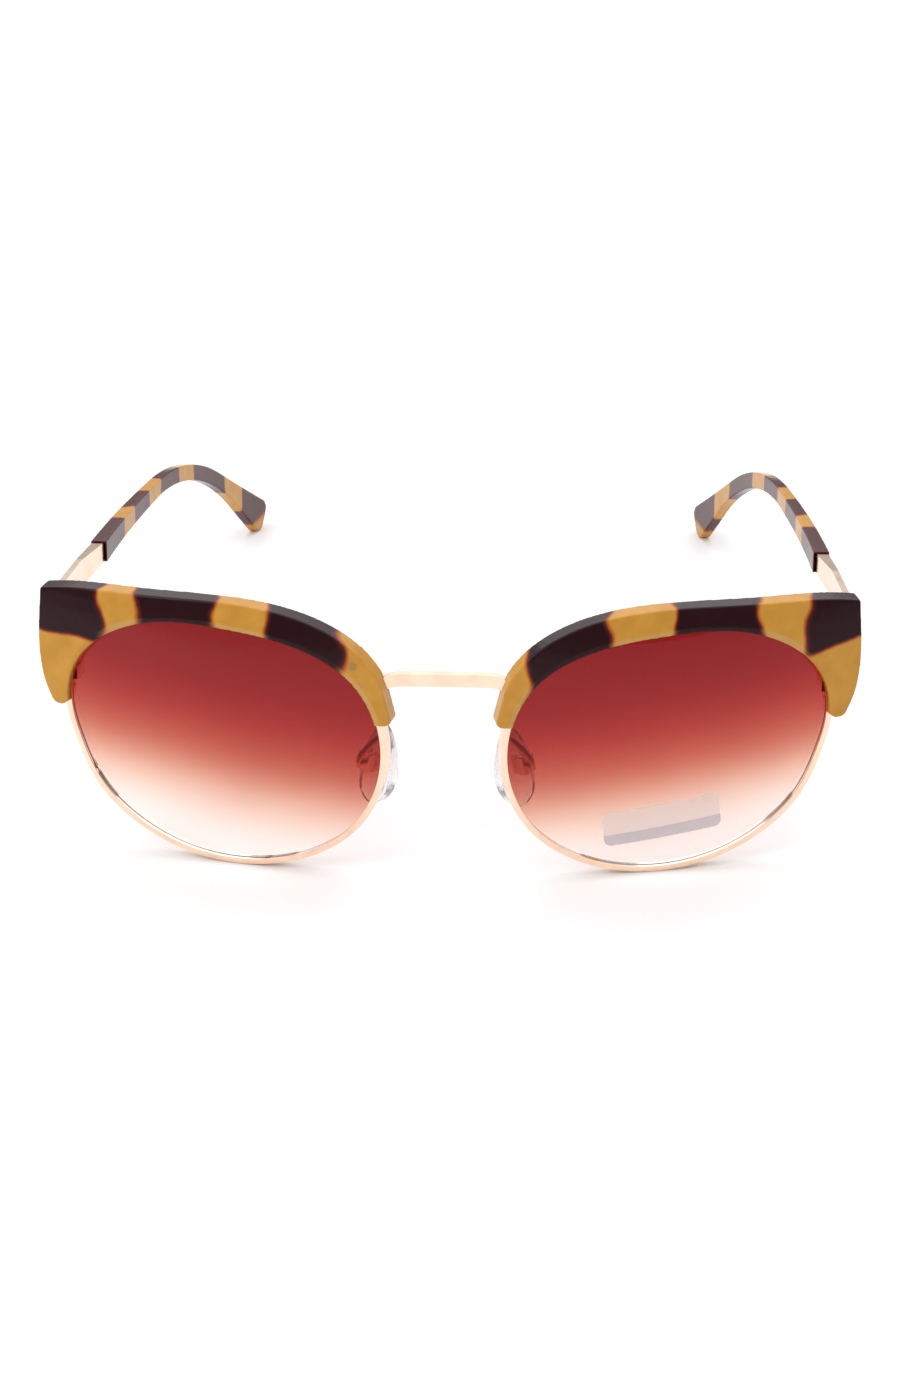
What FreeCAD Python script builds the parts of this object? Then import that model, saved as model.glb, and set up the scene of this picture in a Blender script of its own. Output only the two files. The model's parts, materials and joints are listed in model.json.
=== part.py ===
import FreeCAD, Part
import math
import os
import Sketcher
from FreeCAD import Placement, Rotation, Vector

# Browline cat-eye sunglasses, in millimetres.
#
# Front frame of the design: X to the wearer's left, Y from the lenses back towards the ears,
# Z up, origin midway between the two lens centres on the lens front surface. Each part of the
# left half (+X) is built in one of four local frames: front, lens, hinge or pad. The right half
# mirrors it. At the end the whole object is tipped and lifted, so that it stands on its rims and
# temple tips with the middle of its footprint at the origin.

os.makedirs("parts", exist_ok=True)
doc = FreeCAD.newDocument("browline_sunglasses")

SIZES = [
    ("lens_width", 52.2, "width of the lens that shows"),
    ("lens_height", 41.0, "height of the lens that shows"),
    ("nose_gap", 20.4, "between the two lenses at their nearest"),
    ("lens_offset", "=(lens_width + nose_gap) / 2", "lens centre from the symmetry plane"),
    ("lens_thick", 2.0, "lens thickness"),
    ("base_radius", 110.0, "radius of the lens front surface"),
    ("wrap_angle", 12.0, "turn of each lens towards the temple"),
    ("ridge_height", 0.42, "lens edge ridge, out into the rim groove"),
    ("ridge_width", 0.7, "lens edge ridge, front to back"),
    ("groove_depth", 0.5, "rim groove"),
    ("groove_width", 0.8, "rim groove, front to back"),
    ("rim_width", 1.0, "rim wire, across the lens plane"),
    ("rim_depth", 2.2, "rim wire, front to back"),
    ("rim_proud", 0.1, "rim front ahead of the lens front"),
    ("slit_width", 0.2, "closing slit of the rim"),
    ("slit_height", "=lens_height / 2 - 11.0", "closing slit above the lens centre"),
    ("lock_width", 2.3, "closing barrel, across"),
    ("lock_depth", 2.4, "closing barrel, front to back"),
    ("lock_height", 2.2, "each closing barrel, along its screw"),
    ("brow_front", 1.25, "brow front ahead of the lens front"),
    ("brow_back", 2.05, "brow back behind the lens front"),
    ("brow_lip", 0.1, "brow edge outside the edge of the lens that shows"),
    ("lug_thick", 0.8, "brow fixing lug, front to back"),
    ("lug_width", 2.0, "brow fixing lug, across"),
    ("brow_screw_out", 2.5, "brow screw outside the lens edge"),
    ("brow_screw_long", 2.6, "brow screw shank"),
    ("bridge_top", "=lens_height / 2 - 6.9", "top of the bridge bar"),
    ("bridge_tall", 2.1, "bridge bar, top to bottom"),
    ("bridge_deep", 1.6, "bridge bar, front to back"),
    ("bridge_front", -0.6, "front face of the bridge bar along Y"),
    ("bridge_flat", "=nose_gap / 2 - 3.6", "half length of the level part of the bridge"),
    ("bridge_drop", 2.2, "fall of the bridge ends to the rims"),
    ("end_reach", 4.0, "outer face of the end piece beyond the lens"),
    ("front_half", "=lens_offset + lens_width / 2 + end_reach", "end piece from the symmetry plane"),
    ("end_depth", 10.0, "hinge axis behind the outer edge of the lens"),
    ("edge_turn", "=lens_width / 2 * sin(wrap_angle * 1deg)", "outer lens edge, back by the wrap"),
    ("edge_sag", "=lens_width ^ 2 / (8 * base_radius)", "outer lens edge, back by the lens curve"),
    ("hinge_back", "=edge_turn + edge_sag + end_depth", "hinge axis along Y"),
    ("hinge_up", "=lens_height / 2 - 4.3", "hinge axis height at its middle"),
    ("hinge_in", 2.4, "hinge axis inside the temple's outer face"),
    ("panto_angle", 3.3, "fall of the temples from the front's normal"),
    ("splay_angle", 3.5, "turn of the temples towards each other"),
    ("plate_thick", 1.1, "temple and end piece plate"),
    ("plate_tall", 5.0, "temple plate at the hinge and end piece"),
    ("end_thick", 1.2, "end piece plate behind the brow"),
    ("hinge_gap", 0.06, "from the hinge axis plane to each butt face"),
    ("knuckle_radius", 1.2, "hinge knuckles"),
    ("knuckle_tall", 1.25, "each hinge knuckle along the axis"),
    ("knuckle_gap", 0.05, "between neighbouring knuckles"),
    ("pin_radius", 0.45, "hinge and closing screw shank"),
    ("pin_clear", 0.05, "screw shank in its bore"),
    ("temple_long", 138.8, "temple along its top edge, hinge to end"),
    ("sleeve_start", 31.0, "hinge to the front of the acetate sleeve"),
    ("facet_start", 20.0, "hinge to where the metal starts to thicken"),
    ("facet_tall", 4.6, "metal at the start of its facet"),
    ("sleeve_tall", 3.9, "sleeve at its front end, top to bottom"),
    ("sleeve_thick", 2.8, "sleeve at its front end, side to side"),
    ("sleeve_wall", 0.3, "sleeve wall round the metal at its mouth"),
    ("tip_thick", 2.0, "acetate from the ear bend on, side to side"),
    ("neck_tall", 3.1, "acetate at the ear bend, top to bottom"),
    ("bend_start", 73.0, "hinge to the start of the ear bend"),
    ("bend_radius", 77.0, "ear bend, along the top edge"),
    ("bend_angle", 27.0, "turn of the top edge round the ear"),
    ("paddle_angle", 10.5, "spread of the bottom edge from the top behind the ear"),
    ("curve_start", 30.0, "hinge to where the temple starts to curve inwards"),
    ("curve_radius", 477.0, "inward curve of the temple"),
    ("curve_angle", 12.0, "whole inward turn of the temple"),
    ("core_thick", 1.0, "metal core inside the acetate, side to side"),
    ("core_tall", 1.5, "metal core inside the acetate, top to bottom"),
    ("core_end", 126.0, "hinge to the end of the core"),
    ("core_clear", 0.04, "core in its channel"),
    ("pad_across", "=nose_gap / 2 + 2.0", "pad screw from the symmetry plane"),
    ("pad_back", 5.2, "pad screw along Y"),
    ("pad_up", -3.8, "pad screw height"),
    ("pad_turn", 47.0, "turn of the pad face from straight back"),
    ("pad_lean", 11.0, "lean of the pad top towards the nose"),
    ("pad_long", 14.0, "nose pad, top to bottom"),
    ("pad_wide", 7.6, "nose pad, across"),
    ("pad_thick", 2.3, "nose pad at its middle"),
    ("pad_drop", 1.0, "pad centre below its screw"),
    ("pad_crown", 18.0, "radius of the pad's crowned face"),
    ("lug_half", 0.7, "pad's mounting lug, half width"),
    ("lug_radius", 1.0, "pad's mounting lug, round the screw"),
    ("box_gap", 0.1, "pad lug to box cheek"),
    ("box_wall", 0.5, "pad box sheet"),
    ("box_tall", 3.0, "pad box along the pad"),
    ("pad_seat", 1.25, "pad back from the screw axis"),
    ("pad_pin_radius", 0.35, "pad screw shank"),
    ("arm_radius", 0.5, "pad arm wire"),
    ("arm_up", 2.2, "pad arm root above the lens centre"),
    ("label_wide", 19.4, "blank lens label"),
    ("label_tall", 6.2, "blank lens label"),
    ("label_thick", 0.12, "blank lens label"),
    ("label_down", "=lens_height / 2 - 8.8", "label centre below the lens centre"),
    ("label_tilt", 8.0, "label, outer end up"),
]

sheet = doc.addObject("Spreadsheet::Sheet", "Sizes")
for row, (alias, value, meaning) in enumerate(SIZES, start=1):
    sheet.set("A%d" % row, alias)
    sheet.set("B%d" % row, str(value))
    sheet.set("C%d" % row, meaning)
    sheet.setAlias("B%d" % row, alias)
doc.recompute()


def size(alias):
    return float(sheet.get(alias))


AXIS_X, AXIS_Y, AXIS_Z = Vector(1, 0, 0), Vector(0, 1, 0), Vector(0, 0, 1)
REACH = 60.0        # longer than any local piece of the front, for cutting tools
TOOL_DEEP = 40.0    # front to back length of the prisms that are cut from spherical shells

# Distance from the lens centre to the edge that shows, every 30 degrees from the temple side up
# and over, on a lens of the width and height given here.
LENS_REACH = [25.6, 27.0, 23.0, 20.3, 21.5, 25.1, 26.1, 24.8, 22.0, 20.4, 20.7, 22.9]
LENS_DRAWN = (52.2, 41.0)

# How far the brow stands outside the lens edge: (angle round the lens in degrees, margin).
BROW_TOP = [(157, 3.4), (150, 3.9), (138, 4.4), (117, 4.6), (83, 4.1), (58, 5.2), (44, 8.8), (35, 12.6)]
BROW_SIDE = [(35, 12.6), (26, 8.5), (19, 6.3), (13, 4.7), (9, 3.5)]
BROW_NOSE = [(167, 2.7), (162, 2.9), (157, 3.4)]
BROW_LOBE = [(9, 3.5), (7.4, 2.8), (7.3, 1.8), (9.2, 0.4)]
BROW_NOSE_END = [(167.6, 0.6), (168.2, 1.7), (167.9, 2.3), (167, 2.7)]
BROW_SCREW_ANGLES = [144.0, 10.8]
NOSE_SIDE_ANGLE = 180.0


# ---------------------------------------------------------------- local frames

LENS = Placement(Vector(size("lens_offset"), 0, 0), Rotation(AXIS_Z, size("wrap_angle")))
HINGE_POINT = Vector(size("front_half") - size("hinge_in"), size("hinge_back"), size("hinge_up"))
HINGE_TURN = Rotation(AXIS_X, -size("panto_angle")).multiply(Rotation(AXIS_Z, size("splay_angle")))
HINGE = Placement(HINGE_POINT, HINGE_TURN)
PAD_POINT = Vector(size("pad_across"), size("pad_back"), size("pad_up"))
PAD_TURN = Rotation(AXIS_Y, -size("pad_lean")).multiply(Rotation(AXIS_Z, size("pad_turn")))
PAD = Placement(PAD_POINT, PAD_TURN)
FRONT = Placement()


def moved(shape, frame):
    """A copy of a shape drawn in a local frame, set in the front frame."""
    copy = shape.copy()
    copy.Placement = frame.multiply(copy.Placement)
    return copy


def in_frame(shape, frame):
    """A copy of a shape drawn in the front frame, seen from a local frame."""
    return moved(shape, frame.inverse())


def feature(name, shape):
    part = doc.addObject("Part::Feature", name)
    part.Shape = shape
    return part


# ---------------------------------------------------------------- lens outline

def spline(points, closed=False):
    curve = Part.BSplineCurve()
    curve.interpolate(Points=points, PeriodicFlag=closed)
    return curve


def drawn_outline():
    across = size("lens_width") / LENS_DRAWN[0]
    up = size("lens_height") / LENS_DRAWN[1]
    points = []
    for step, reach in enumerate(LENS_REACH):
        angle = math.radians(30.0 * step)
        points.append(Vector(reach * math.cos(angle) * across, 0, reach * math.sin(angle) * up))
    return spline(points, closed=True)


EDGE = drawn_outline()
EDGE_STEPS = 48


def edge_points(outside):
    """Points round the lens, a distance outside the edge that shows."""
    first, last = EDGE.FirstParameter, EDGE.LastParameter
    points = []
    for step in range(EDGE_STEPS):
        at = first + (last - first) * step / EDGE_STEPS
        along = EDGE.tangent(at)[0]
        outward = Vector(along.z, 0, -along.x)
        points.append(EDGE.value(at) + outward * outside)
    return points


def edge_reach(degrees):
    """Distance from the lens centre to the edge that shows, along one direction."""
    ray = Part.LineSegment(Vector(), Vector(REACH * math.cos(math.radians(degrees)), 0,
                                            REACH * math.sin(math.radians(degrees))))
    hit = ray.toShape().section(EDGE.toShape()).Vertexes[0].Point
    return hit.Length


def polar(degrees, reach):
    return Vector(reach * math.cos(math.radians(degrees)), 0, reach * math.sin(math.radians(degrees)))


def prism(wire):
    """A wire in the lens plane, extruded through the whole depth of the front."""
    face = Part.Face(wire)
    face.translate(Vector(0, -TOOL_DEEP / 2, 0))
    return face.extrude(Vector(0, TOOL_DEEP, 0))


def edge_prism(outside):
    return prism(Part.Wire([spline(edge_points(outside), closed=True).toShape()]))


def ball(depth):
    """The sphere that lies a depth behind the lens front surface."""
    return Part.makeSphere(size("base_radius") - depth, Vector(0, size("base_radius"), 0))


def shell(front, back):
    return ball(front).cut(ball(back))


# ---------------------------------------------------------------- lens, rim and label

RIM_FRONT = -size("rim_proud")
RIM_BACK = RIM_FRONT + size("rim_depth")
GROOVE_FRONT = (RIM_FRONT + RIM_BACK - size("groove_width")) / 2
GROOVE_BACK = GROOVE_FRONT + size("groove_width")
LENS_CLEAR = 0.06
FIT_CLEAR = 0.06


def lens_shape():
    body = edge_prism(-LENS_CLEAR).common(shell(0, size("lens_thick")))
    side = (size("groove_width") - size("ridge_width")) / 2
    ridge = edge_prism(size("ridge_height")).common(shell(GROOVE_FRONT + side, GROOVE_BACK - side))
    return body.fuse(ridge).removeSplitter()


def rim_shape():
    ring = edge_prism(size("rim_width")).cut(edge_prism(0)).common(shell(RIM_FRONT, RIM_BACK))
    groove = edge_prism(size("groove_depth")).common(shell(GROOVE_FRONT, GROOVE_BACK))
    slit = Part.makeBox(REACH, TOOL_DEEP, size("slit_width"),
                        Vector(0, -TOOL_DEEP / 2, size("slit_height") - size("slit_width") / 2))
    return ring.cut(groove).cut(slit)


def label_shape():
    wide, tall = size("label_wide"), size("label_tall")
    box = Part.makeBox(wide, TOOL_DEEP, tall, Vector(-wide / 2, -TOOL_DEEP / 2, -tall / 2))
    corners = [edge for edge in box.Edges if abs(edge.tangentAt(edge.FirstParameter).y) > 0.9]
    box = box.makeFillet(tall / 5, corners)
    box.rotate(Vector(), AXIS_Y, -size("label_tilt"))
    box.translate(Vector(-1.0, 0, -size("label_down")))
    return box.common(shell(-size("label_thick"), 0))


# ---------------------------------------------------------------- brow and its fixings

def brow_curve(margins):
    return spline([polar(angle, edge_reach(angle) + margin) for angle, margin in margins]).toShape()


def brow_outline():
    """The outer outline of the brow, closed across the lens opening."""
    nose = polar(BROW_NOSE_END[0][0], edge_reach(BROW_NOSE_END[0][0]) + BROW_NOSE_END[0][1])
    lobe = polar(BROW_LOBE[-1][0], edge_reach(BROW_LOBE[-1][0]) + BROW_LOBE[-1][1])
    inner = [nose, Vector(nose.x * 0.8, 0, nose.z), Vector(lobe.x * 0.8, 0, lobe.z), lobe]
    lines = [Part.LineSegment(a, b).toShape() for a, b in zip(inner, inner[1:])]
    curves = [brow_curve(part) for part in (BROW_NOSE_END, BROW_NOSE, BROW_TOP, BROW_SIDE, BROW_LOBE)]
    return Part.Wire(Part.__sortEdges__(curves + lines))


def brow_shape():
    slab = prism(brow_outline()).common(shell(-size("brow_front"), size("brow_back")))
    slab = slab.cut(edge_prism(size("brow_lip")))
    rebate = edge_prism(size("rim_width") + FIT_CLEAR)
    slab = slab.cut(rebate.common(shell(RIM_FRONT - FIT_CLEAR, TOOL_DEEP / 4)))
    slab = slab.cut(in_frame(bridge_bar(FIT_CLEAR), LENS))
    for angle in BROW_SCREW_ANGLES:
        slab = slab.cut(screw_hole(angle, size("pin_radius") + FIT_CLEAR / 2,
                                   RIM_BACK - size("brow_screw_long") + size("lug_thick") - FIT_CLEAR))
    return slab


def screw_frame(angle):
    """Frame of one brow screw: Z points out of its head, normal to the brow."""
    reach = edge_reach(angle) + size("brow_screw_out")
    spot = polar(angle, reach)
    centre = Vector(0, size("base_radius"), 0)
    depth = size("base_radius") - math.sqrt(size("base_radius") ** 2 - reach ** 2)
    surface = Vector(spot.x, depth, spot.z)
    inward = (centre - surface).normalize()
    return Placement(surface, Rotation(AXIS_Z, inward))


def screw_hole(angle, radius, front):
    hole = Part.makeCylinder(radius, TOOL_DEEP / 4, Vector(0, 0, front))
    return moved(hole, screw_frame(angle))


def lug_shape(angle):
    """A tab soldered to the back of the rim, with a clear hole for one brow screw."""
    reach = edge_reach(angle)
    width = size("lug_width")
    length = size("brow_screw_out") + width / 2
    tab = Part.makeBox(length, TOOL_DEEP, width, Vector(reach + 0.1, -TOOL_DEEP / 2, -width / 2))
    tab.rotate(Vector(), AXIS_Y, -angle)
    tab = tab.common(shell(RIM_BACK, RIM_BACK + size("lug_thick")))
    return tab.cut(screw_hole(angle, size("pin_radius") + FIT_CLEAR / 2, -TOOL_DEEP / 8))


# ---------------------------------------------------------------- bridge

def bridge_bar(clear):
    """The bridge bar: level in the middle, its ends falling behind the brows to the rims."""
    top = size("bridge_top") + clear
    low = size("bridge_top") - size("bridge_tall") - clear
    flat = size("bridge_flat")
    drop = size("bridge_drop")
    end = size("lens_offset") - edge_reach(156) * math.cos(math.radians(24)) - 0.1
    tall_end = size("bridge_tall") + 2 * clear

    def side(level, lower, sign):
        points = [Vector(sign * flat, 0, level), Vector(sign * (flat + end) / 2, 0, level - 0.32 * drop),
                  Vector(sign * end, 0, lower)]
        curve = Part.BSplineCurve()
        curve.interpolate(Points=points, InitialTangent=Vector(sign, 0, 0),
                          FinalTangent=Vector(sign * 0.8, 0, -0.6))
        return curve.toShape()

    edges = [Part.LineSegment(Vector(-flat, 0, top), Vector(flat, 0, top)).toShape(),
             Part.LineSegment(Vector(-flat, 0, low), Vector(flat, 0, low)).toShape()]
    for sign in (-1, 1):
        edges.append(side(top, top - drop, sign))
        edges.append(side(low, top - drop - tall_end, sign))
        edges.append(Part.LineSegment(Vector(sign * end, 0, top - drop),
                                      Vector(sign * end, 0, top - drop - tall_end)).toShape())
    face = Part.Face(Part.Wire(Part.__sortEdges__(edges)))
    face.translate(Vector(0, size("bridge_front") - clear, 0))
    return face.extrude(Vector(0, size("bridge_deep") + 2 * clear, 0))


def bridge_shape():
    bar = bridge_bar(0)
    rim_space = edge_prism(size("rim_width")).cut(ball(RIM_BACK))
    lens_space = edge_prism(0.3)
    for tool in (rim_space, lens_space):
        placed = moved(tool, LENS)
        bar = bar.cut(placed)
        bar = bar.cut(placed.mirror(Vector(), AXIS_X))
    return bar


# ---------------------------------------------------------------- end piece

def end_piece_shape():
    """A plate behind the brow that turns back along the temple line to the hinge."""
    tall = size("plate_tall")
    outer = size("hinge_in")
    gap = size("hinge_gap")
    behind = moved(ball(RIM_BACK), LENS)
    reachable = Part.makeBox(REACH + outer, REACH, tall, Vector(-REACH, -REACH - gap, -tall / 2))
    reachable = moved(reachable, HINGE)
    plate = moved(shell(RIM_BACK, RIM_BACK + size("end_thick")).cut(edge_prism(0.15)), LENS)
    inner = size("lens_offset") + size("lens_width") * 0.38
    keep = Part.makeBox(REACH, REACH, REACH, Vector(inner, -REACH / 2, -REACH / 2))
    plate = plate.common(reachable).common(keep)
    wall = Part.makeBox(size("plate_thick"), 12, tall, Vector(outer - size("plate_thick"), -12 - gap, -tall / 2))
    wall = moved(wall, HINGE).common(behind)
    hinge_long = size("knuckle_radius") + 2.25
    hinge_room = Part.makeBox(REACH, hinge_long + REACH, REACH,
                              Vector(outer - size("plate_thick") - REACH, -hinge_long, -REACH / 2))
    return plate.cut(moved(hinge_room, HINGE)).fuse(wall).removeSplitter()


# ---------------------------------------------------------------- temple

def plan_point(run, inset):
    """A point of the temple seen from above: a run along it, an inset from its outer face."""
    start, radius = size("curve_start"), size("curve_radius")
    turn = min(max((run - start) / radius, 0), math.radians(size("curve_angle")))
    past = max(run - start - turn * radius, 0)
    straight = min(run, start)
    x = size("hinge_in") - radius * (1 - math.cos(turn)) - past * math.sin(turn)
    y = straight + radius * math.sin(turn) + past * math.cos(turn)
    return Vector(x - inset * math.cos(turn), y - inset * math.sin(turn), 0)


def plan_arc(first, last, inset_first, inset_last):
    middle = (first + last) / 2
    inset = (inset_first + inset_last) / 2
    return Part.Arc(plan_point(first, inset_first), plan_point(middle, inset),
                    plan_point(last, inset_last)).toShape()


def plan_slab(sections):
    """A slab seen from above, through (run, outer inset, inner inset) sections, and very tall."""
    outer = [plan_arc(a[0], b[0], a[1], b[1]) for a, b in zip(sections, sections[1:])]
    inner = [plan_arc(a[0], b[0], a[2], b[2]) for a, b in zip(sections, sections[1:])]
    ends = [Part.LineSegment(plan_point(s[0], s[1]), plan_point(s[0], s[2])).toShape()
            for s in (sections[0], sections[-1])]
    face = Part.Face(Part.Wire(Part.__sortEdges__(outer + inner + ends)))
    face.translate(Vector(0, 0, -REACH))
    return face.extrude(Vector(0, 0, 2 * REACH))


TOP = size("plate_tall") / 2
BEND_CENTRE = Vector(0, size("bend_start"), TOP - size("bend_radius"))


def bend_point(degrees, depth):
    """A point of the ear bend seen from the side, a depth below the top edge."""
    radius = size("bend_radius") - depth
    turn = math.radians(degrees)
    return BEND_CENTRE + Vector(0, radius * math.sin(turn), radius * math.cos(turn))


def bend_arc(degrees, depth):
    return Part.Arc(bend_point(0, depth), bend_point(degrees / 2, depth), bend_point(degrees, depth)).toShape()


def along(degrees, run):
    turn = math.radians(degrees)
    return Vector(0, run * math.cos(turn), -run * math.sin(turn))


def rounded(before, corner, after, radius):
    """The arc that rounds a corner between two straight edges, as its three points."""
    back, forth = (before - corner).normalize(), (after - corner).normalize()
    half = back.getAngle(forth) / 2
    reach = radius / math.tan(half)
    middle = (back + forth).normalize() * (radius / math.sin(half) - radius)
    return corner + back * reach, corner + middle, corner + forth * reach


def side_outline(start, depth_start, inset, rest_of_run, low_angle, low_depth, end_round):
    """The temple seen from the side: start, top inset, length past the bend, bottom edge."""
    bend = size("bend_angle")
    top_start = Vector(0, start, TOP - inset)
    low_start = Vector(0, start, TOP - inset - depth_start)
    top_bend, low_bend = bend_point(bend, inset), bend_point(low_angle, low_depth)
    top_end = top_bend + along(bend, rest_of_run)
    run = (top_end - low_bend).dot(along(low_angle, 1))
    low_end = low_bend + along(low_angle, run)
    top_round = rounded(top_bend, top_end, low_end, end_round)
    low_round = rounded(top_end, low_end, low_bend, end_round)
    lines = [(top_start, bend_point(0, inset)), (top_bend, top_round[0]), (top_round[2], low_round[0]),
             (low_round[2], low_bend), (bend_point(0, low_depth), low_start), (low_start, top_start)]
    edges = [Part.LineSegment(a, b).toShape() for a, b in lines]
    edges += [Part.Arc(*top_round).toShape(), Part.Arc(*low_round).toShape()]
    edges += [bend_arc(bend, inset), bend_arc(low_angle, low_depth)]
    return Part.Wire(Part.__sortEdges__(edges))


def side_slab(wire):
    face = Part.Face(wire)
    face.translate(Vector(-REACH, 0, 0))
    return face.extrude(Vector(2 * REACH, 0, 0))


BEND_RUN = math.radians(size("bend_angle")) * size("bend_radius")
CORE_ROUND = 0.5


def core_shape(clear):
    """The metal core inside the acetate, thickened by a clearance."""
    middle = size("tip_thick") / 2
    half = size("core_thick") / 2 + clear
    depth = (size("neck_tall") - size("core_tall")) / 2 - clear
    tall = size("core_tall") + 2 * clear
    start = size("sleeve_start") - 1.0
    end = size("core_end") + clear
    plan = plan_slab([(start, middle - half, middle + half), (end, middle - half, middle + half)])
    past = end - size("bend_start") - BEND_RUN
    wire = side_outline(start, tall, depth, past, size("bend_angle"), depth + tall, CORE_ROUND)
    return plan.common(side_slab(wire))


def rectangle(run, outer, inner, top, low):
    """A cross-section of the temple as a wire."""
    x_outer = size("hinge_in") - outer
    x_inner = size("hinge_in") - inner
    corners = [Vector(x_outer, run, TOP - top), Vector(x_inner, run, TOP - top),
               Vector(x_inner, run, TOP - low), Vector(x_outer, run, TOP - low)]
    return Part.makePolygon(corners + corners[:1])


def bar_shape():
    """The metal temple: a tall thin plate that thickens in a facet to fill the sleeve's mouth."""
    wall = size("sleeve_wall")
    plate = size("plate_thick")
    front = [rectangle(size("hinge_gap"), 0, plate, 0, size("plate_tall")),
             rectangle(size("facet_start"), 0, plate, 0, size("facet_tall"))]
    mouth = rectangle(size("sleeve_start") + MOUTH_DEEP, wall, size("sleeve_thick") - wall, wall,
                      size("sleeve_tall") - wall)
    bar = Part.makeLoft(front, True, True).fuse(Part.makeLoft([front[1], mouth], True, True))
    return bar.fuse(core_shape(0)).removeSplitter()


MOUTH_DEEP = 1.5    # how far the thick end of the metal reaches into the sleeve
OVERRUN = 3.0       # how far one cutting outline of the temple runs past the other
PADDLE_ROUND = 2.2


def tip_shape():
    """The acetate sleeve: slim over the ear, widening to a rounded paddle, bored for the core."""
    start, end = size("sleeve_start"), size("temple_long")
    thick, thin = size("sleeve_thick"), size("tip_thick")
    bend_start = size("bend_start")
    plan = plan_slab([(start, 0, thick), (bend_start, 0, thin), (end + OVERRUN, 0, thin)])
    past = end - bend_start - BEND_RUN
    low_angle = size("bend_angle") + size("paddle_angle")
    wire = side_outline(start - OVERRUN, size("sleeve_tall"), 0, past, low_angle, size("neck_tall"),
                        PADDLE_ROUND)
    sleeve = plan.common(side_slab(wire))
    wall = size("sleeve_wall") - size("core_clear")
    mouth = [rectangle(size("sleeve_start") - 1.0, wall - 0.05, thick - wall + 0.05, wall - 0.05,
                       size("sleeve_tall") - wall + 0.3),
             rectangle(size("sleeve_start") + MOUTH_DEEP + FIT_CLEAR, wall, thick - wall, wall,
                       size("sleeve_tall") - wall)]
    return sleeve.cut(core_shape(size("core_clear"))).cut(Part.makeLoft(mouth, True, True))


# ---------------------------------------------------------------- sketched bodies

def origin_plane(body, role):
    return next(item for item in body.Origin.OriginFeatures if item.Role == role)


def new_sketch(body, name, role):
    sketch = body.newObject("Sketcher::SketchObject", name)
    sketch.AttachmentSupport = [(origin_plane(body, role), "")]
    sketch.MapMode = "FlatFace"
    return sketch


def pin_coordinate(sketch, kind, edge, point, term):
    """Tie one coordinate of a sketch point to a sheet expression, or to the axis for 0."""
    if term == "0":
        axis = -2 if kind == "DistanceX" else -1
        sketch.addConstraint(Sketcher.Constraint("PointOnObject", edge, point, axis))
        return
    value = sketch.evalExpression(term)
    number = sketch.addConstraint(Sketcher.Constraint(kind, -1, 1, edge, point, float(value)))
    sketch.setExpression("Constraints[%d]" % number, term)


def sketch_polygon(body, name, role, corners):
    """A closed polygon whose corners are pairs of sheet expressions."""
    sketch = new_sketch(body, name, role)
    spots = [Vector(float(sketch.evalExpression(x)), float(sketch.evalExpression(y)), 0)
             for x, y in corners]
    count = len(spots)
    for index in range(count):
        sketch.addGeometry(Part.LineSegment(spots[index], spots[(index + 1) % count]), False)
    for index in range(count):
        following = (index + 1) % count
        sketch.addConstraint(Sketcher.Constraint("Coincident", index, 2, following, 1))
        pin_coordinate(sketch, "DistanceX", index, 1, corners[index][0])
        pin_coordinate(sketch, "DistanceY", index, 1, corners[index][1])
    return sketch


def sketch_circle(body, name, role, radius, up="0"):
    sketch = new_sketch(body, name, role)
    centre = Vector(0, float(sketch.evalExpression(up)), 0)
    sketch.addGeometry(Part.Circle(centre, AXIS_Z, float(sketch.evalExpression(radius))), False)
    pin_coordinate(sketch, "DistanceX", 0, 3, "0")
    pin_coordinate(sketch, "DistanceY", 0, 3, up)
    number = sketch.addConstraint(Sketcher.Constraint("Radius", 0, float(sketch.evalExpression(radius))))
    sketch.setExpression("Constraints[%d]" % number, radius)
    return sketch


def pad_both_ways(body, name, sketch, length):
    pad = body.newObject("PartDesign::Pad", name)
    pad.Profile = sketch
    pad.SideType = "Symmetric"
    pad.setExpression("Length", length)
    return pad


def pocket_both_ways(body, name, sketch, length):
    doc.recompute()
    before = body.Shape.Volume
    pocket = body.newObject("PartDesign::Pocket", name)
    pocket.Profile = sketch
    pocket.SideType = "Symmetric"
    pocket.setExpression("Length", length)
    doc.recompute()
    assert body.Shape.Volume < before, name + " cuts nothing"
    return pocket


def screw_body(name, head_radius, head_tall, shank_radius, shank_long, slot):
    """A slotted screw along Z: head from 0 up, shank below."""
    body = doc.addObject("PartDesign::Body", name)
    profile = sketch_polygon(body, name + "_profile", "XZ_Plane", [
        ("0", head_tall), (head_radius, head_tall), (head_radius, "0"), (shank_radius, "0"),
        (shank_radius, "-(%s)" % shank_long), ("0", "-(%s)" % shank_long)])
    turned = body.newObject("PartDesign::Revolution", name + "_turned")
    turned.Profile = profile
    turned.ReferenceAxis = (profile, ["V_Axis"])
    turned.Angle = 360.0
    half = "%s / 2" % slot
    wide = "(%s) * 1.2" % head_radius
    cut = sketch_polygon(body, name + "_slot_sketch", "XZ_Plane", [
        ("-(%s)" % half, "(%s) * 0.5" % head_tall), (half, "(%s) * 0.5" % head_tall),
        (half, "(%s) * 1.5" % head_tall), ("-(%s)" % half, "(%s) * 1.5" % head_tall)])
    pocket_both_ways(body, name + "_slot", cut, "2 * " + wide)
    return body


KNUCKLES = "(3 * Sizes.knuckle_tall + 2 * Sizes.knuckle_gap)"
PLATE_FACE = "(Sizes.hinge_in - Sizes.plate_thick)"
LEAF_IN = "(Sizes.hinge_in - Sizes.plate_thick - 0.4)"
BORE = "(Sizes.pin_radius + Sizes.pin_clear)"


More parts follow.
